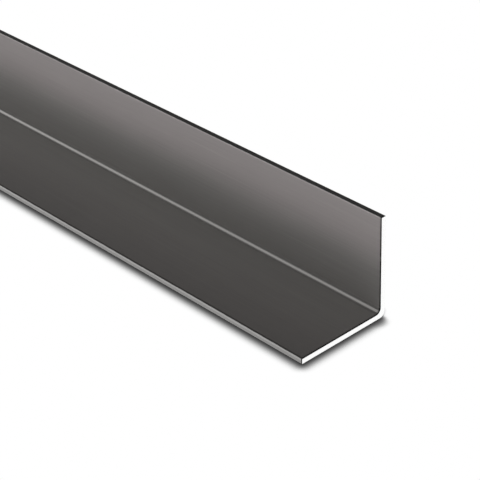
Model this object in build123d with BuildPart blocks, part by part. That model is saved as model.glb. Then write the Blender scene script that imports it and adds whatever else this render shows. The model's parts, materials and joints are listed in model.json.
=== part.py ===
from build123d import *

import os

# Equal-leg steel angle, cold-formed from one slit strip and sawn to a stock length.
# It lies on one leg with the other upright: X runs along the bar, the upright leg is on the +Y side,
# and the origin is on the floor below the middle of the bar.

# Driving dimensions, in millimetres.
leg = 40.0  # outside width of each leg, heel to toe
wall = 2.0  # strip thickness
stock_length = 1000.0  # bar from sawn end to sawn end
root_radius = 2.2  # inside of the bend
heel_radius = 2.2  # outside of the bend
rollover_radius = 0.12  # toe corners on the inside, where the slitting knife pulled the edge over
burr_radius = 0.08  # toe corners on the outside, where the slitting burr was brushed off
end_ease_depth = 0.05  # filing round both sawn ends: how far it goes into the wall
end_ease_length = 0.5  # and how far it reaches along the bar

# Derived places across the bar.
back = leg / 2  # outer face of the upright leg; the flat leg's toe is as far the other way
inner_back = back - wall  # inner face of the upright leg

# Corners of the section as (y, z) with their radii, from the heel up and round.
corners = [
    ((back, 0), heel_radius),
    ((back, leg), burr_radius),
    ((inner_back, leg), rollover_radius),
    ((inner_back, wall), root_radius),
    ((-back, wall), rollover_radius),
    ((-back, 0), burr_radius),
]

os.makedirs("parts", exist_ok=True)

with BuildPart() as angle_section:
    # The rolled section: two legs of one strip and the bend that joins them.
    with BuildSketch(Plane.YZ) as section:
        with BuildLine() as outline:
            FilletPolyline(
                *[point for point, radius in corners],
                radius=[radius for point, radius in corners],
                close=True,
            )
        make_face()
    extrude(amount=stock_length / 2, both=True)

    # Both sawn ends lose their burr all round the section, with a file held nearly along the bar.
    for end in (0, -1):
        sawn_end = angle_section.faces().sort_by(Axis.X)[end]
        chamfer(sawn_end.edges(), length=end_ease_depth, length2=end_ease_length, reference=sawn_end)

angle_section.part.label = "angle_section"
export_step(angle_section.part, "parts/angle_section.step")
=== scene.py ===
"""Dresses the steel angle: a bar of rolled strip bent once, its finishes, and a plain bright studio."""

import json
import logging
import math
from dataclasses import dataclass
from enum import IntEnum

import bmesh
import bpy
from mathutils import Matrix, Vector


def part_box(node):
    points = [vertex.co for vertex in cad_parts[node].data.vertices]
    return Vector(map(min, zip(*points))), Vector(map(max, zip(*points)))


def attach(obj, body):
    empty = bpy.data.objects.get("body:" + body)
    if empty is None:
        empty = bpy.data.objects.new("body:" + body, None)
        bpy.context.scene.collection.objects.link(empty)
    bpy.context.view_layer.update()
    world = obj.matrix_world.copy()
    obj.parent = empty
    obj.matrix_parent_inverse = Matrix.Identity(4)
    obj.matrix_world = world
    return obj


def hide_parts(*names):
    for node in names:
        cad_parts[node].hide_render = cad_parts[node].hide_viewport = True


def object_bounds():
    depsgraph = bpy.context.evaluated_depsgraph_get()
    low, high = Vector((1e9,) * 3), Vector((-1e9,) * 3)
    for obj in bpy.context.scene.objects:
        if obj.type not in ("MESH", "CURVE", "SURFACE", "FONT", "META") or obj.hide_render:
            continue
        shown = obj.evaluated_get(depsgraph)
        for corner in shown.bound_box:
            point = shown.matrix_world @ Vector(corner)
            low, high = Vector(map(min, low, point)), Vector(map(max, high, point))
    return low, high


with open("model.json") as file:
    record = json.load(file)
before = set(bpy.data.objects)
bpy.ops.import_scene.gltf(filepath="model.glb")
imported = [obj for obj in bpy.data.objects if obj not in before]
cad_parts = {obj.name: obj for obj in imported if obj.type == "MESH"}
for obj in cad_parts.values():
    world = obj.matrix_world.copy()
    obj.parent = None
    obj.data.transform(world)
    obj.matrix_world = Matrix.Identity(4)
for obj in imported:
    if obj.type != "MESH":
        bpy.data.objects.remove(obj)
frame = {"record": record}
CAD_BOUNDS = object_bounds()

NODE = "angle_section"
BODY = "root"

# Lengths, in metres. Two places nearer than NEAR are the same place.
MM = 0.001
MICRON = 0.000001
NEAR = 1e-6

# How far a face's normal leans along the bar: more than FACES_OUT on an end, less than RUNS_ALONG on
# the faces that run the bar's whole length.
FACES_OUT = 0.95
RUNS_ALONG = 0.05

Colour = tuple[float, float, float]
Cells = tuple[float, float, float]
Direction = tuple[float, float, float]
Steps = tuple[tuple[float, float], ...]
Socket = bpy.types.NodeSocket
Source = Socket | float | tuple[float, ...]

log = logging.getLogger("angle")


def mount(name: str) -> Vector:
    """Finds the place of one of the record's mounts.

    Args:
        name: the mount's name in the record.

    Returns:
        The mount's point in the frame, in metres.
    """
    row = next(m for m in frame["record"]["mounts"] if m["name"] == name)
    return Vector(row["pos_m"])


def is_end(face: bmesh.types.BMFace) -> bool:
    """Tells whether a face of the bar looks out along its length, as both ends do."""
    return abs(face.normal.x) > FACES_OUT


class Surface(IntEnum):
    """Material slots of the bar, in order."""

    SKIN = 0
    ARRIS = 1
    SLIT = 2
    SAWN = 3
    EASED = 4


@dataclass(frozen=True)
class BarSize:
    """The bar's box, its wall and the roundings of its section."""

    low: Vector
    high: Vector
    wall: float
    root_radius: float = 2.2 * MM
    heel_radius: float = 2.2 * MM
    rollover_radius: float = 0.12 * MM
    burr_radius: float = 0.08 * MM
    ease_depth: float = 0.05 * MM
    ease_length: float = 0.5 * MM

    @classmethod
    def from_frame(cls) -> "BarSize":
        """Reads the bar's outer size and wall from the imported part.

        Returns:
            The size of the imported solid.
        """
        low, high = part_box(NODE)
        return cls(low=low, high=high, wall=mount("flat_leg_seat").z - low.z)

    @property
    def inner_back(self) -> float:
        """Gives the y of the upright leg's inner face."""
        return self.high.y - self.wall

    @property
    def seat(self) -> float:
        """Gives the z of the flat leg's upper face."""
        return self.low.z + self.wall

    @property
    def root_axis(self) -> tuple[float, float]:
        """Gives the y and z of the line about which the bend's inner face is rounded."""
        return self.inner_back - self.root_radius, self.seat + self.root_radius

    @property
    def mid_height(self) -> float:
        """Gives the z half way up the upright leg."""
        return (self.low.z + self.high.z) / 2


@dataclass(frozen=True)
class Grain:
    """A noise in a finish: how fine it is, and how much its full swing changes the surface."""

    cells: Cells  # to the metre along x, y and z
    detail: float = 2.0
    turn: float = 0.0  # about the bar's length, in degrees
    tone: float = 0.0  # added to the factor on the colour
    blur: float = 0.0  # added to the roughness


class NodeGraph:
    """A node tree with short calls for the patterns that the finishes share."""

    def __init__(self, owner: bpy.types.Material | bpy.types.World) -> None:
        """Starts the owner's tree empty.

        Args:
            owner: the material or world that the nodes belong to.
        """
        owner.use_nodes = True
        self.tree = owner.node_tree
        self.tree.nodes.clear()

    def add(self, kind: str, **settings: object) -> bpy.types.Node:
        """Adds a node.

        Args:
            kind: the node's type name after "ShaderNode".
            **settings: the node's own properties.

        Returns:
            The new node.
        """
        node = self.tree.nodes.new("ShaderNode" + kind)
        for key, value in settings.items():
            setattr(node, key, value)
        return node

    def feed(self, target: Socket, source: Source) -> None:
        """Joins a socket to an input, or sets the input where the source is a plain value.

        Args:
            target: the input.
            source: a socket, a number or a colour.
        """
        if isinstance(source, Socket):
            self.tree.links.new(source, target)
        else:
            target.default_value = source

    def math(self, operation: str, *sources: Source, clamp: bool = False) -> Socket:
        """Works out a number.

        Args:
            operation: the Math node's operation.
            *sources: its inputs, in order.
            clamp: whether the result is kept between 0 and 1.

        Returns:
            The result.
        """
        node = self.add("Math", operation=operation, use_clamp=clamp)
        for target, source in zip(node.inputs, sources):
            self.feed(target, source)
        return node.outputs[0]

    def step(
        self, value: Source, start: Source, end: Source, low: Source = 0.0, high: Source = 1.0
    ) -> Socket:
        """Turns smoothly from one number to another as a value goes from start to end.

        Args:
            value: the value that is followed.
            start: where the turn begins.
            end: where the turn ends.
            low: the result before start.
            high: the result after end.

        Returns:
            The result.
        """
        node = self.add("MapRange", interpolation_type="SMOOTHSTEP")
        for target, source in zip(node.inputs, (value, start, end, low, high)):
            self.feed(target, source)
        return node.outputs[0]

    def ramp(self, value: Source, steps: Steps) -> Socket:
        """Follows a given row of levels.

        Args:
            value: the value that is followed.
            steps: each level, after the value that it belongs to, from the lowest value to the highest.

        Returns:
            The level.
        """
        start, full = steps[0][0], steps[-1][0]
        node = self.add("ValToRGB")
        stops = node.color_ramp.elements
        while len(stops) < len(steps):
            stops.new(1.0)
        for stop, (place, level) in zip(stops, steps):
            stop.position = (place - start) / (full - start)
            stop.color = (level, level, level, 1.0)
        self.feed(node.inputs[0], self.math("DIVIDE", self.math("SUBTRACT", value, start), full - start))
        return node.outputs[0]

    def axes(self) -> tuple[Socket, Socket, Socket]:
        """Finds where a point of the object is.

        Returns:
            The point's x, y and z in the object's own metres.
        """
        split = self.add("SeparateXYZ")
        self.feed(split.inputs[0], self.add("TexCoord").outputs["Object"])
        return split.outputs[0], split.outputs[1], split.outputs[2]

    def noise(self, grain: Grain) -> Socket:
        """Makes a noise of its own fineness along each axis.

        Args:
            grain: the noise that is wanted.

        Returns:
            The noise, about 0.5 on average.
        """
        place = self.add("Mapping", vector_type="POINT")
        place.inputs["Rotation"].default_value = (math.radians(grain.turn), 0, 0)
        stretch = self.add("VectorMath", operation="MULTIPLY")
        stretch.inputs[1].default_value = grain.cells
        cloud = self.add("TexNoise")
        cloud.inputs["Scale"].default_value = 1.0
        cloud.inputs["Detail"].default_value = grain.detail
        self.feed(place.inputs["Vector"], self.add("TexCoord").outputs["Object"])
        self.feed(stretch.inputs[0], place.outputs[0])
        self.feed(cloud.inputs["Vector"], stretch.outputs[0])
        return cloud.outputs[0]

    def about(self, centre: Source, *parts: tuple[Socket, float]) -> Socket:
        """Adds noises to a number so that their average leaves it as it was.

        Args:
            centre: the number.
            *parts: each noise, with how much its full swing adds.

        Returns:
            The varied number.
        """
        total = centre
        for noise, swing in parts:
            total = self.math("MULTIPLY_ADD", self.math("SUBTRACT", noise, 0.5), swing, total)
        return total

    def mixed(self, share: Source, first: Source, second: Source) -> Socket:
        """Mixes two numbers.

        Args:
            share: how much of the second number there is, from 0 to 1.
            first: the first number.
            second: the second number.

        Returns:
            The mixed number.
        """
        node = self.add("Mix", data_type="FLOAT")
        self.feed(node.inputs[0], share)
        self.feed(node.inputs[2], first)
        self.feed(node.inputs[3], second)
        return node.outputs[0]

    def tinted(self, share: Source, first: Colour, second: Colour, gain: Source) -> Socket:
        """Mixes two colours and brightens the result.

        Args:
            share: how much of the second colour there is.
            first: the first colour.
            second: the second colour.
            gain: the factor on the mixed colour.

        Returns:
            The colour.
        """
        mix = self.add("Mix", data_type="VECTOR")
        self.feed(mix.inputs["Factor"], share)
        mix.inputs[4].default_value = first
        mix.inputs[5].default_value = second
        scaled = self.add("VectorMath", operation="SCALE")
        self.feed(scaled.inputs[0], mix.outputs[1])
        self.feed(scaled.inputs["Scale"], gain)
        return scaled.outputs[0]

    def relief(self, height: Socket, depth: float) -> Socket:
        """Raises and lowers the surface.

        Args:
            height: the relief, where a step of 1 is the whole depth.
            depth: the relief's depth, in metres.

        Returns:
            The bent normal.
        """
        node = self.add("Bump")
        node.inputs["Distance"].default_value = depth
        self.feed(node.inputs["Height"], height)
        return node.outputs[0]

    def metal(self, metallic: float, colour: Source, roughness: Source, normal: Socket) -> None:
        """Ends the tree in a metal surface.

        Args:
            metallic: how bare the metal is, below 1 under a film of oxide.
            colour: its colour.
            roughness: its roughness.
            normal: its bent normal.
        """
        shader = self.add("BsdfPrincipled")
        shader.inputs["Metallic"].default_value = metallic
        self.feed(shader.inputs["Base Color"], colour)
        self.feed(shader.inputs["Roughness"], roughness)
        self.feed(shader.inputs["Normal"], normal)
        self.feed(self.add("OutputMaterial").inputs["Surface"], shader.outputs["BSDF"])


@dataclass(frozen=True)
class RolledSkin:
    """The strip's two broad faces: satin, streaked along the roll, smoother where the die bent it.

    Their colour also carries painted light and shade: a painted highlight in the bend's middle and along
    the upright leg's top rim, and painted shade on the rest of the bend, along the flat leg's toe rim,
    next to both ends and in bands across the strip.
    """

    size: BarSize
    cool: Colour = (0.347, 0.337, 0.327)
    warm: Colour = (0.366, 0.337, 0.335)
    warm_from: float = 14.0 * MM
    warm_to: float = 32.0 * MM
    metallic: float = 0.69
    roughness: float = 0.42
    # Painted light and shade across the strip: lighter at the bend, darker over the flat leg and in bands
    # up the upright leg.
    painted_light_steps: Steps = (
        (-16.0, 0.93), (-6.0, 0.91), (2.0, 0.93), (10.0, 0.98), (18.0, 1.05), (22.5, 1.07), (26.0, 0.98),
        (30.0, 0.94), (36.0, 0.94), (41.0, 1.00), (47.0, 1.01), (51.0, 0.98), (55.0, 0.94), (58.0, 0.92),
    )
    bend_middle: float = 43.2
    bend_roughness: float = 0.15
    bend_half_angle: float = 9.5
    bend_fade: float = 4.0
    # Painted highlight in the bend's middle, and painted shade on the bend beside it.
    bend_highlight_gain: float = 1.04
    bend_shade_half_angle: float = 22.0
    bend_shade_gain: float = 0.56
    leg_half_angle: float = 42.0
    rim: float = 0.7 * MM
    # Painted highlight along the upright leg's top rim.
    top_rim_highlight_gain: float = 1.35
    # Painted shade along the flat leg's toe rim.
    toe_shade_width: float = 1.0 * MM
    toe_shade_gain: float = 0.42
    # Painted shade on the skin next to both ends.
    end_rim: float = 0.5 * MM
    end_shade_gain: float = 0.50
    clouds: Grain = Grain((7, 24, 24), detail=3, tone=0.10, blur=0.08)
    bands: Grain = Grain((0.8, 190, 190), detail=1, tone=0.05)
    streaks: Grain = Grain((4, 1400, 1400), detail=2, tone=0.13, blur=0.10)
    hairlines: Grain = Grain((45, 8600, 8600), detail=2, tone=0.34, blur=0.16)
    marks: Grain = Grain((18, 2600, 2600), detail=0, tone=0.08)
    mark_edge: tuple[float, float] = (0.70, 0.80)
    warmth_swing: float = 0.8
    bend_blur: tuple[float, float] = (0.05, 0.06)
    hairline_height: float = 0.5
    streak_depth: float = 7.0 * MICRON

    def bend_turn(self, g: NodeGraph) -> Socket:
        """Tells how far round the bend a point is from its middle.

        Args:
            g: the finish's nodes.

        Returns:
            The angle in degrees, more than leg_half_angle on both legs.
        """
        _, y, z = g.axes()
        axis_y, axis_z = self.size.root_axis
        inward = g.math("MAXIMUM", g.math("SUBTRACT", y, axis_y), 0.0)
        downward = g.math("MAXIMUM", g.math("SUBTRACT", axis_z, z), 0.0)
        turn = g.math("DEGREES", g.math("ARCTAN2", inward, downward))
        return g.math("ABSOLUTE", g.math("SUBTRACT", turn, self.bend_middle))

    def painted_light_across(self, g: NodeGraph) -> Socket:
        """Paints light and shade across the strip's width, from the flat leg's toe to the upright leg's.

        Args:
            g: the finish's nodes.

        Returns:
            The factor on the colour.
        """
        _, y, z = g.axes()
        across = g.math("DIVIDE", g.math("ADD", y, z), MM)
        return g.ramp(across, self.painted_light_steps)

    def rim_gain(self, g: NodeGraph) -> Socket:
        """Paints a highlight along the upright leg's top rim, and painted shade along the flat leg's toe
        rim and next to both ends.

        Args:
            g: the finish's nodes.

        Returns:
            The factor on the colour.
        """
        x, y, z = g.axes()
        top = self.size.high.z
        toe = self.size.low.y
        eased = self.size.high.x - self.size.ease_length
        # Painted highlight along the upright leg's top rim.
        rubbed_and_highlit = g.step(z, top - self.rim, top - self.rim / 2, 1.0, self.top_rim_highlight_gain)
        # Painted shade along the flat leg's toe rim.
        rim = self.toe_shade_width
        toe_rim_shade = g.step(y, toe + rim / 2, toe + rim, self.toe_shade_gain, 1.0)
        # Painted shade next to both ends.
        end_rim_shade = g.step(g.math("ABSOLUTE", x), eased - self.end_rim, eased, 1.0, self.end_shade_gain)
        return g.math("MULTIPLY", g.math("MULTIPLY", rubbed_and_highlit, toe_rim_shade), end_rim_shade)

    def material(self) -> bpy.types.Material:
        """Builds the finish.

        Returns:
            The material.
        """
        made = bpy.data.materials.new("rolled_skin")
        g = NodeGraph(made)
        grains = (self.clouds, self.bands, self.streaks, self.hairlines, self.marks)
        clouds, bands, streaks, hairlines, marks = map(g.noise, grains)
        warmth = g.step(g.axes()[2], self.warm_from, self.warm_to)
        turn = self.bend_turn(g)
        # The bend's middle is smoother and gets a painted highlight; the rest of the bend gets painted
        # shade.
        bend = g.step(turn, self.bend_half_angle, self.bend_half_angle + self.bend_fade, 1.0, 0.0)
        shaded = g.step(turn, self.bend_shade_half_angle, self.leg_half_angle, self.bend_shade_gain, 1.0)
        gain = g.math("MULTIPLY", self.rim_gain(g), self.painted_light_across(g))
        gain = g.math("MULTIPLY", gain, g.mixed(bend, shaded, self.bend_highlight_gain))
        gain = g.about(
            gain,
            (clouds, self.clouds.tone),
            (bands, self.bands.tone),
            (streaks, self.streaks.tone),
            (hairlines, self.hairlines.tone),
        )
        gain = g.math("MULTIPLY_ADD", g.step(marks, *self.mark_edge), self.marks.tone, gain)
        satin = g.about(
            self.roughness,
            (clouds, self.clouds.blur),
            (streaks, self.streaks.blur),
            (hairlines, self.hairlines.blur),
        )
        rubbed_and_highlit = g.about(self.bend_roughness, *zip((streaks, hairlines), self.bend_blur))
        height = g.about(0.0, (streaks, 1.0), (hairlines, self.hairline_height))
        g.metal(
            metallic=self.metallic,
            colour=g.tinted(g.about(warmth, (clouds, self.warmth_swing)), self.cool, self.warm, gain),
            roughness=g.mixed(bend, satin, rubbed_and_highlit),
            normal=g.relief(height, self.streak_depth),
        )
        return made


@dataclass(frozen=True)
class RubbedArris:
    """The small roundings along the slit edges, worn bright by handling."""

    dull: Colour = (0.16, 0.157, 0.154)
    bright: Colour = (0.36, 0.355, 0.350)
    metallic: float = 0.8
    roughness: float = 0.32
    wear: Grain = Grain((260, 900, 900), detail=3, blur=0.2)
    wear_edge: tuple[float, float] = (0.35, 0.65)
    nicks: Grain = Grain((2200, 2200, 2200), detail=2, tone=0.2)
    nick_depth: float = 4.0 * MICRON

    def material(self) -> bpy.types.Material:
        """Builds the finish.

        Returns:
            The material.
        """
        made = bpy.data.materials.new("rubbed_arris")
        g = NodeGraph(made)
        wear, nicks = g.noise(self.wear), g.noise(self.nicks)
        gain = g.about(1.0, (nicks, self.nicks.tone))
        g.metal(
            metallic=self.metallic,
            colour=g.tinted(g.step(wear, *self.wear_edge), self.dull, self.bright, gain),
            roughness=g.about(self.roughness, (wear, self.wear.blur)),
            normal=g.relief(nicks, self.nick_depth),
        )
        return made


@dataclass(frozen=True)
class SlitEdge:
    """The strip's edges as the slitting knives left them: a bright sheared band, then a dull torn one."""

    size: BarSize
    torn: Colour = (0.300, 0.294, 0.288)
    sheared: Colour = (0.365, 0.358, 0.351)
    metallic: float = 0.88
    torn_roughness: float = 0.46
    sheared_roughness: float = 0.28
    sheared_share: float = 0.36
    seam_blur: float = 0.06
    wander: Grain = Grain((320, 320, 320), detail=3)
    wander_swing: float = 0.30
    grain: Grain = Grain((4200, 4200, 4200), detail=3, tone=0.16, blur=0.12)
    knife_lines: Grain = Grain((5200, 240, 240), detail=1)
    knife_height: float = 0.3
    clouds: Grain = Grain((40, 40, 40), detail=2, tone=0.10)
    grain_depth: float = 7.0 * MICRON

    def depth_share(self, g: NodeGraph) -> Socket:
        """Tells how far through the wall a point of either edge lies.

        Args:
            g: the finish's nodes.

        Returns:
            0 at the inner face of the leg, 1 at its outer face.
        """
        _, y, z = g.axes()
        below = g.math("DIVIDE", g.math("SUBTRACT", self.size.seat, z), self.size.wall)
        behind = g.math("DIVIDE", g.math("SUBTRACT", y, self.size.inner_back), self.size.wall)
        return g.mixed(g.math("GREATER_THAN", z, self.size.mid_height), below, behind)

    def material(self) -> bpy.types.Material:
        """Builds the finish.

        Returns:
            The material.
        """
        made = bpy.data.materials.new("slit_edge")
        g = NodeGraph(made)
        limit = g.about(self.sheared_share, (g.noise(self.wander), self.wander_swing))
        past_seam = g.math("SUBTRACT", self.depth_share(g), limit)
        torn = g.step(past_seam, -self.seam_blur, self.seam_blur)
        grain, knife_lines, clouds = map(g.noise, (self.grain, self.knife_lines, self.clouds))
        marks = g.mixed(torn, knife_lines, grain)
        gain = g.about(1.0, (clouds, self.clouds.tone), (marks, self.grain.tone))
        roughness = g.mixed(torn, self.sheared_roughness, self.torn_roughness)
        height = g.mixed(torn, g.math("MULTIPLY", knife_lines, self.knife_height), grain)
        g.metal(
            metallic=self.metallic,
            colour=g.tinted(torn, self.sheared, self.torn, gain),
            roughness=g.about(roughness, (grain, self.grain.blur)),
            normal=g.relief(height, self.grain_depth),
        )
        return made


@dataclass(frozen=True)
class SawnEnd:
    """The freshly sawn ends: bright bare steel with the blade's fine marks across them, coloured near
    white beyond that as a painted highlight.
    """

    # Painted highlight: the colour is near white, brighter than bare steel.
    dull: Colour = (0.985, 0.984, 0.980)
    bright: Colour = (1.0, 1.0, 0.998)
    roughness: float = 0.28
    blade: Grain = Grain((150, 90, 5600), detail=2, turn=7.0, blur=0.16)
    blade_edge: tuple[float, float] = (0.35, 0.60)
    chatter: Grain = Grain((150, 60, 900), detail=1, turn=7.0, blur=0.08)
    chatter_height: float = 0.6
    cut_depth: float = 5.0 * MICRON

    def material(self) -> bpy.types.Material:
        """Builds the finish.

        Returns:
            The material.
        """
        made = bpy.data.materials.new("sawn_end")
        g = NodeGraph(made)
        blade, chatter = g.noise(self.blade), g.noise(self.chatter)
        g.metal(
            metallic=1.0,
            colour=g.tinted(g.step(blade, *self.blade_edge), self.dull, self.bright, 1.0),
            roughness=g.about(self.roughness, (blade, self.blade.blur), (chatter, self.chatter.blur)),
            normal=g.relief(g.about(0.0, (blade, 1.0), (chatter, self.chatter_height)), self.cut_depth),
        )
        return made


@dataclass(frozen=True)
class EasedEnd:
    """The narrow rim that the file left round each sawn end, drawn near black as painted shade, with bare
    patches in it.
    """

    # Painted shade: the rim's colour is near black.
    dark: Colour = (0.012, 0.012, 0.012)
    bare: Colour = (0.140, 0.136, 0.132)
    metallic: float = 0.8
    roughness: float = 0.42
    wear: Grain = Grain((900, 420, 420), detail=2)
    wear_edge: tuple[float, float] = (0.56, 0.74)
    strokes: Grain = Grain((600, 3600, 3600), detail=1, tone=0.3, blur=0.2)
    stroke_depth: float = 6.0 * MICRON

    def material(self) -> bpy.types.Material:
        """Builds the finish.

        Returns:
            The material.
        """
        made = bpy.data.materials.new("eased_end")
        g = NodeGraph(made)
        wear, strokes = g.noise(self.wear), g.noise(self.strokes)
        gain = g.about(1.0, (strokes, self.strokes.tone))
        g.metal(
            metallic=self.metallic,
            colour=g.tinted(g.step(wear, *self.wear_edge), self.dark, self.bare, gain),
            roughness=g.about(self.roughness, (strokes, self.strokes.blur)),
            normal=g.relief(strokes, self.stroke_depth),
        )
        return made


@dataclass
class FlatMap:
    """The bar's own flat map: the strip unrolled round its section, with the sawn ends laid above it."""

    size: BarSize
    outline: list[Vector]
    name: str = "OFBake"
    half_length: float = 0.48
    ease_width: float = 0.015
    foot: float = 0.004
    skin_height: float = 0.895
    end_rows: tuple[float, float] = (0.955, 0.908)
    end_columns: tuple[float, float] = (0.01, 0.51)
    end_width: float = 0.47
    end_height: float = 0.040

    @classmethod
    def of_section(cls, size: BarSize, cap: bmesh.types.BMFace) -> "FlatMap":
        """Starts the map at the outline of a rounded section.

        Args:
            size: the bar's size.
            cap: a face that closes the rounded bar.

        Returns:
            The map, whose seam is at the flat leg's lower toe corner.
        """
        ring = [v.co.yz.copy() for v in cap.verts]
        seam = ring.index(min(ring, key=lambda place: place.x + place.y))
        return cls(size=size, outline=ring[seam:] + ring[: seam + 1])

    def girth(self, place: Vector) -> float:
        """Measures along the outline to the point of it that is nearest to a place of the section.

        Args:
            place: the y and z of the place.

        Returns:
            The length from the seam.
        """
        nearest, found, run = math.inf, 0.0, 0.0
        for start, end in zip(self.outline, self.outline[1:]):
            side = end - start
            share = min(max((place - start).dot(side) / side.length_squared, 0.0), 1.0)
            gap = (start + side * share - place).length
            if gap < nearest:
                nearest, found = gap, run + side.length * share
            run += side.length
        return found

    def round_length(self) -> float:
        """Measures the whole outline."""
        return sum((end - start).length for start, end in zip(self.outline, self.outline[1:]))

    def along(self, x: float) -> float:
        """Places a point of the length across the map, with the eased rims drawn wider than they are.

        Args:
            x: the point's place along the bar.

        Returns:
            Its place across the map, from 0 to 1.
        """
        shaft = self.size.high.x - self.size.ease_length
        inner = min(abs(x), shaft) / shaft * self.half_length
        rim = max(abs(x) - shaft, 0.0) / self.size.ease_length * self.ease_width
        return 0.5 + math.copysign(inner + rim, x)

    def on_end(self, point: Vector, upright: bool) -> tuple[float, float]:
        """Places a point of a sawn end, where each leg gets a strip of its own.

        Args:
            point: the point.
            upright: whether it belongs to the upright leg's strip.

        Returns:
            Its place on the map.
        """
        size = self.size
        leg = size.high.z - size.low.z
        row, column = self.end_rows[point.x > 0], self.end_columns[upright]
        run, depth = point.y - size.low.y, (point.z - size.low.z) / size.wall
        if upright:
            run, depth = point.z - size.low.z, (size.high.y - point.y) / (size.high.y - size.root_axis[0])
        return column + run / leg * self.end_width, row + depth * self.end_height

    def draw(self, mesh: bmesh.types.BMesh) -> None:
        """Writes the map on the finished bar.

        Args:
            mesh: the bar's mesh.
        """
        layer = mesh.loops.layers.uv.new(self.name)
        whole = self.round_length()
        for face in mesh.faces:
            centre = face.calc_center_median()
            middle = self.girth(centre.yz)
            for corner in face.loops:
                point = corner.vert.co
                if is_end(face):
                    corner[layer].uv = self.on_end(point, upright=centre.z > self.size.seat)
                    continue
                run = self.girth(point.yz)
                share = run / whole + round((middle - run) / whole)
                corner[layer].uv = (self.along(point.x), self.foot + share * self.skin_height)


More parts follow.
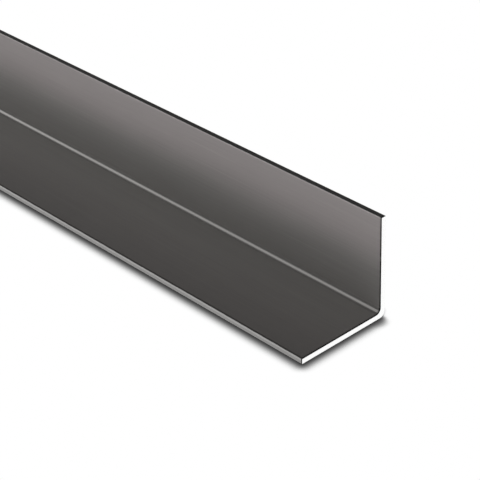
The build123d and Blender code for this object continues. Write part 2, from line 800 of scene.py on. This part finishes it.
@dataclass
class AngleBar:
    """The bent strip: one closed mesh with its roundings, its ends and its finishes."""

    size: BarSize
    bend_segments: int = 24
    toe_segments: int = 4
    normal_weight: int = 100

    def section(self, mesh: bmesh.types.BMesh) -> bmesh.types.BMFace:
        """Lays the sharp-cornered section near the bar's -X end.

        Args:
            mesh: the mesh that gets the face.

        Returns:
            The section's face.
        """
        low, high, wall = self.size.low, self.size.high, self.size.wall
        outline = [
            (high.y, low.z),
            (high.y, high.z),
            (high.y - wall, high.z),
            (high.y - wall, low.z + wall),
            (low.y, low.z + wall),
            (low.y, low.z),
        ]
        x = low.x + self.size.ease_length
        return mesh.faces.new([mesh.verts.new((x, y, z)) for y, z in outline])

    def draw_out(self, mesh: bmesh.types.BMesh) -> None:
        """Draws the section out to the length between the eased rims.

        Args:
            mesh: the mesh that holds the section.
        """
        grown = bmesh.ops.extrude_face_region(mesh, geom=list(mesh.faces))
        moved = [v for v in grown["geom"] if isinstance(v, bmesh.types.BMVert)]
        run = self.size.high.x - self.size.low.x - 2 * self.size.ease_length
        bmesh.ops.translate(mesh, verts=moved, vec=(run, 0, 0))
        bmesh.ops.recalc_face_normals(mesh, faces=mesh.faces)

    def round_edges(self, mesh: bmesh.types.BMesh) -> None:
        """Rounds the lengthwise edges: the bend's root and heel, and the slit edges' corners.

        Args:
            mesh: the sharp prism.
        """
        plan = {
            "root": (self.size.root_radius, self.bend_segments),
            "heel": (self.size.heel_radius, self.bend_segments),
            "rollover": (self.size.rollover_radius, self.toe_segments),
            "burr": (self.size.burr_radius, self.toe_segments),
        }
        for corner, (radius, segments) in plan.items():
            bmesh.ops.bevel(
                mesh,
                geom=[e for e in mesh.edges if self.corner_of(e) == corner],
                offset=radius,
                offset_type="OFFSET",
                affect="EDGES",
                segments=segments,
                profile=0.5,
                material=-1,
                clamp_overlap=False,
            )
        mesh.normal_update()

    def corner_of(self, edge: bmesh.types.BMEdge) -> str:
        """Names the sharp corner of the section that a lengthwise edge lies on.

        Args:
            edge: an edge of the bar.

        Returns:
            "root", "heel", "rollover" or "burr", or "none" on any other edge.
        """
        a, b = (v.co for v in edge.verts)
        if abs(a.x - b.x) < self.size.wall:
            return "none"
        size = self.size
        places = {
            "root": [(size.inner_back, size.seat)],
            "heel": [(size.high.y, size.low.z)],
            "rollover": [(size.inner_back, size.high.z), (size.low.y, size.seat)],
            "burr": [(size.high.y, size.high.z), (size.low.y, size.low.z)],
        }
        for name, corners in places.items():
            if any(abs(a.y - y) < NEAR and abs(a.z - z) < NEAR for y, z in corners):
                return name
        return "none"

    def cut_ends(self, mesh: bmesh.types.BMesh) -> None:
        """Eases the rim of both ends, pushes the ends out to the full length and parts each at the bend.

        Args:
            mesh: the rounded prism.
        """
        for face in [f for f in mesh.faces if is_end(f)]:
            outward = Vector((math.copysign(1.0, face.calc_center_median().x), 0, 0))
            bmesh.ops.inset_region(
                mesh,
                faces=[face],
                thickness=self.size.ease_depth,
                use_even_offset=True,
                use_boundary=True,
            )
            bmesh.ops.translate(mesh, verts=face.verts, vec=outward * self.size.ease_length)
            bend = [
                min(face.verts, key=lambda v: (v.co.yz - Vector(place)).length)
                for place in (
                    (self.size.root_axis[0], self.size.seat),
                    (self.size.high.y - self.size.heel_radius, self.size.low.z),
                )
            ]
            bmesh.ops.connect_verts(mesh, verts=bend)
        bmesh.ops.recalc_face_normals(mesh, faces=mesh.faces)
        mesh.normal_update()

    def surface_of(self, face: bmesh.types.BMFace) -> Surface:
        """Says which finish a face wears.

        Args:
            face: a face of the finished bar.

        Returns:
            The face's surface.
        """
        size = self.size
        centre = face.calc_center_median()
        if is_end(face):
            return Surface.SAWN
        from_edge = min(size.high.z - centre.z, centre.y - size.low.y)
        inside = centre.y < size.inner_back + size.wall / 2 and centre.z > size.seat - size.wall / 2
        if abs(centre.x) > size.high.x - size.ease_length:
            return Surface.EASED
        if from_edge < NEAR or (from_edge < size.burr_radius and not inside):
            return Surface.SLIT
        return Surface.ARRIS if from_edge < size.rollover_radius else Surface.SKIN

    def finishes(self) -> dict[Surface, bpy.types.Material]:
        """Makes the bar's materials.

        Returns:
            The material of each surface.
        """
        return {
            Surface.SKIN: RolledSkin(self.size).material(),
            Surface.ARRIS: RubbedArris().material(),
            Surface.SLIT: SlitEdge(self.size).material(),
            Surface.SAWN: SawnEnd().material(),
            Surface.EASED: EasedEnd().material(),
        }

    def build(self) -> bpy.types.Object:
        """Makes the bar and gives it its finishes.

        Returns:
            The bar's object, riding on the frame.
        """
        mesh = bmesh.new()
        self.section(mesh)
        self.draw_out(mesh)
        self.round_edges(mesh)
        flat_map = FlatMap.of_section(self.size, min(mesh.faces, key=lambda f: f.normal.x))
        self.cut_ends(mesh)
        flat_map.draw(mesh)
        for face in mesh.faces:
            face.material_index = self.surface_of(face)
            face.smooth = abs(face.normal.x) < RUNS_ALONG
        data = bpy.data.meshes.new("steel_angle")
        mesh.to_mesh(data)
        mesh.free()
        made = self.finishes()
        for surface in Surface:
            data.materials.append(made[surface])
        bar = bpy.data.objects.new("steel_angle", data)
        bpy.context.scene.collection.objects.link(bar)
        weighted = bar.modifiers.new("weighted_normals", "WEIGHTED_NORMAL")
        weighted.keep_sharp = True
        weighted.weight = self.normal_weight
        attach(bar, BODY)
        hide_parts(NODE)
        return bar


@dataclass(frozen=True)
class Shade:
    """The soft shadow along one long side of the bar and the end that meets it."""

    leans: tuple[Direction, Direction]
    start: float
    depth: float
    power: float = 1.8
    samples: int = 96

    def light(self, g: NodeGraph, reach: float) -> Socket:
        """Tells how much light the bar lets through to the table.

        Args:
            g: the table's nodes.
            reach: how far away the bar still takes light.

        Returns:
            1 where nothing is in the way, and next to 0 under the bar.
        """
        open_shares = []
        for lean in self.leans:
            toward = g.add("CombineXYZ")
            for target, share in zip(toward.inputs, lean):
                target.default_value = share
            sky = g.add("AmbientOcclusion", samples=self.samples)
            sky.inputs["Distance"].default_value = reach
            g.feed(sky.inputs["Normal"], toward.outputs[0])
            open_shares.append(sky.outputs["AO"])
        hidden = g.math("SUBTRACT", self.start, g.math("MAXIMUM", *open_shares), clamp=True)
        taken = g.math("MULTIPLY_ADD", g.math("POWER", hidden, self.power), self.depth, 1.0)
        return g.math("DIVIDE", 1.0, taken)


@dataclass
class Studio:
    """A white table, and one broad soft light that stands along the bar's open side."""

    floor_size: float = 60.0
    floor_drop: float = 0.02 * MM
    shadow_reach: float = 7.0 * MM
    toe_side: Shade = Shade(leans=((0.07, 0.80, 0.60), (-0.80, -0.07, 0.60)), start=0.980, depth=155.0)
    heel_side: Shade = Shade(leans=((-0.07, -0.80, 0.60), (0.80, 0.07, 0.60)), start=0.930, depth=95.0)
    sky_steps: Steps = (
        (0.0, 0.33), (16.0, 0.33), (24.0, 0.85), (33.0, 1.0), (60.0, 0.95), (74.0, 0.72),
        (80.0, 0.52), (98.0, 0.52), (108.0, 0.30), (116.0, 0.04), (180.0, 0.03),
    )
    lamp_turn: tuple[float, float] = (-0.30, -0.90)
    lamp_levels: tuple[float, float] = (0.25, 1.35)
    wall_turn: tuple[float, float] = (-0.65, -0.95)
    wall_level: float = 0.45

    def beside_bar(self, g: NodeGraph) -> Socket:
        """Tells the part of the table that the bar's shadow can reach.

        Args:
            g: the table's nodes.

        Returns:
            1 there, and 0 on the rest of the table.
        """
        x, y, _ = g.axes()
        long_way = g.math("LESS_THAN", g.math("ABSOLUTE", x), CAD_BOUNDS[1][0] + self.shadow_reach)
        short_way = g.math("LESS_THAN", g.math("ABSOLUTE", y), CAD_BOUNDS[1][1] + self.shadow_reach)
        return g.math("MULTIPLY", long_way, short_way)

    def floor(self) -> bpy.types.Object:
        """Lays the white table, with a painted soft shadow where the bar meets it.

        Returns:
            The table's object.
        """
        mesh = bmesh.new()
        bmesh.ops.create_grid(mesh, x_segments=1, y_segments=1, size=self.floor_size / 2)
        bmesh.ops.translate(mesh, verts=mesh.verts, vec=(0, 0, -self.floor_drop))
        data = bpy.data.meshes.new("floor")
        mesh.to_mesh(data)
        mesh.free()
        table = bpy.data.objects.new("floor", data)
        bpy.context.scene.collection.objects.link(table)
        white = bpy.data.materials.new("white_table")
        g = NodeGraph(white)
        near, far = (shade.light(g, self.shadow_reach) for shade in (self.toe_side, self.heel_side))
        shaded, plain, mix = g.add("Emission"), g.add("Emission"), g.add("MixShader")
        g.feed(shaded.inputs["Strength"], g.math("MINIMUM", near, far))
        seen = g.add("LightPath").outputs["Is Camera Ray"]
        g.feed(mix.inputs[0], g.math("MULTIPLY", seen, self.beside_bar(g)))
        g.feed(mix.inputs[1], plain.outputs[0])
        g.feed(mix.inputs[2], shaded.outputs[0])
        g.feed(g.add("OutputMaterial").inputs["Surface"], mix.outputs[0])
        data.materials.append(white)
        return table

    def sky(self) -> bpy.types.World:
        """Lights the table from the bar's open side, most from its far end, before a white backdrop.

        Returns:
            The world.
        """
        world = bpy.data.worlds.new("studio")
        bpy.context.scene.world = world
        g = NodeGraph(world)
        split = g.add("SeparateXYZ")
        g.feed(split.inputs[0], g.add("TexCoord").outputs["Generated"])
        x, y, z = split.outputs
        height = g.math("DEGREES", g.math("ARCTAN2", z, g.math("MULTIPLY", y, -1.0)))
        along = g.add("MapRange")
        for target, number in zip(along.inputs[1:5], (*self.lamp_turn, *self.lamp_levels)):
            target.default_value = number
        g.feed(along.inputs[0], x)
        strength = g.math("ADD", along.outputs[0], g.step(x, *self.wall_turn, 0.0, self.wall_level))
        level = g.math("MULTIPLY", g.ramp(height, self.sky_steps), strength)
        around, backdrop, mix = g.add("Background"), g.add("Background"), g.add("MixShader")
        around.inputs["Color"].default_value = (1, 1, 1, 1)
        backdrop.inputs["Color"].default_value = (1, 1, 1, 1)
        g.feed(around.inputs["Strength"], level)
        g.feed(mix.inputs[0], g.add("LightPath").outputs["Is Camera Ray"])
        g.feed(mix.inputs[1], around.outputs[0])
        g.feed(mix.inputs[2], backdrop.outputs[0])
        g.feed(g.add("OutputWorld").inputs["Surface"], mix.outputs[0])
        return world


@dataclass
class Viewpoint:
    """The camera: where it looks from, measured from the near end's heel, and its lens."""

    target: Vector
    azimuth: float = 47.8735
    elevation: float = 31.6087
    roll: float = -2.0672
    distance: float = 0.610226
    shift_right: float = 0.049724
    shift_up: float = -0.026014
    lens: float = 132.9948
    sensor: float = 36.0
    clip: tuple[float, float] = (0.01, 200.0)

    def build(self) -> bpy.types.Object:
        """Makes the camera and the scene's view of it.

        Returns:
            The camera's object.
        """
        turn, tilt, roll = (math.radians(a) for a in (self.azimuth, self.elevation, self.roll))
        back = Vector((math.sin(turn) * math.cos(tilt), -math.cos(turn) * math.cos(tilt), math.sin(tilt)))
        level_right = -back.cross(Vector((0, 0, 1))).normalized()
        level_up = back.cross(level_right)
        right = math.cos(roll) * level_right + math.sin(roll) * level_up
        up = math.cos(roll) * level_up - math.sin(roll) * level_right
        place = self.target + self.distance * back - self.shift_right * right - self.shift_up * up
        data = bpy.data.cameras.new("camera")
        data.lens = self.lens
        data.sensor_width = self.sensor
        data.clip_start, data.clip_end = self.clip
        camera = bpy.data.objects.new("camera", data)
        camera.matrix_world = Matrix.Translation(place) @ Matrix((right, up, back)).transposed().to_4x4()
        bpy.context.scene.collection.objects.link(camera)
        bpy.context.scene.camera = camera
        return camera


def main() -> None:
    """Builds the bar, the studio and the camera."""
    logging.basicConfig(level=logging.INFO, format="%(name)s: %(message)s")
    size = BarSize.from_frame()
    bar = AngleBar(size).build()
    log.info("%s: %d faces, wall %.2f mm", bar.name, len(bar.data.polygons), size.wall / MM)
    studio = Studio()
    log.info("%s: %.0f m across", studio.floor().name, studio.floor_size)
    log.info("%s: lit", studio.sky().name)
    camera = Viewpoint(target=Vector((size.high.x, size.high.y, size.low.z))).build()
    log.info("%s: lens %.1f mm", camera.name, camera.data.lens)
    bpy.context.scene.view_settings.view_transform = "Standard"


if __name__ == "__main__":
    main()
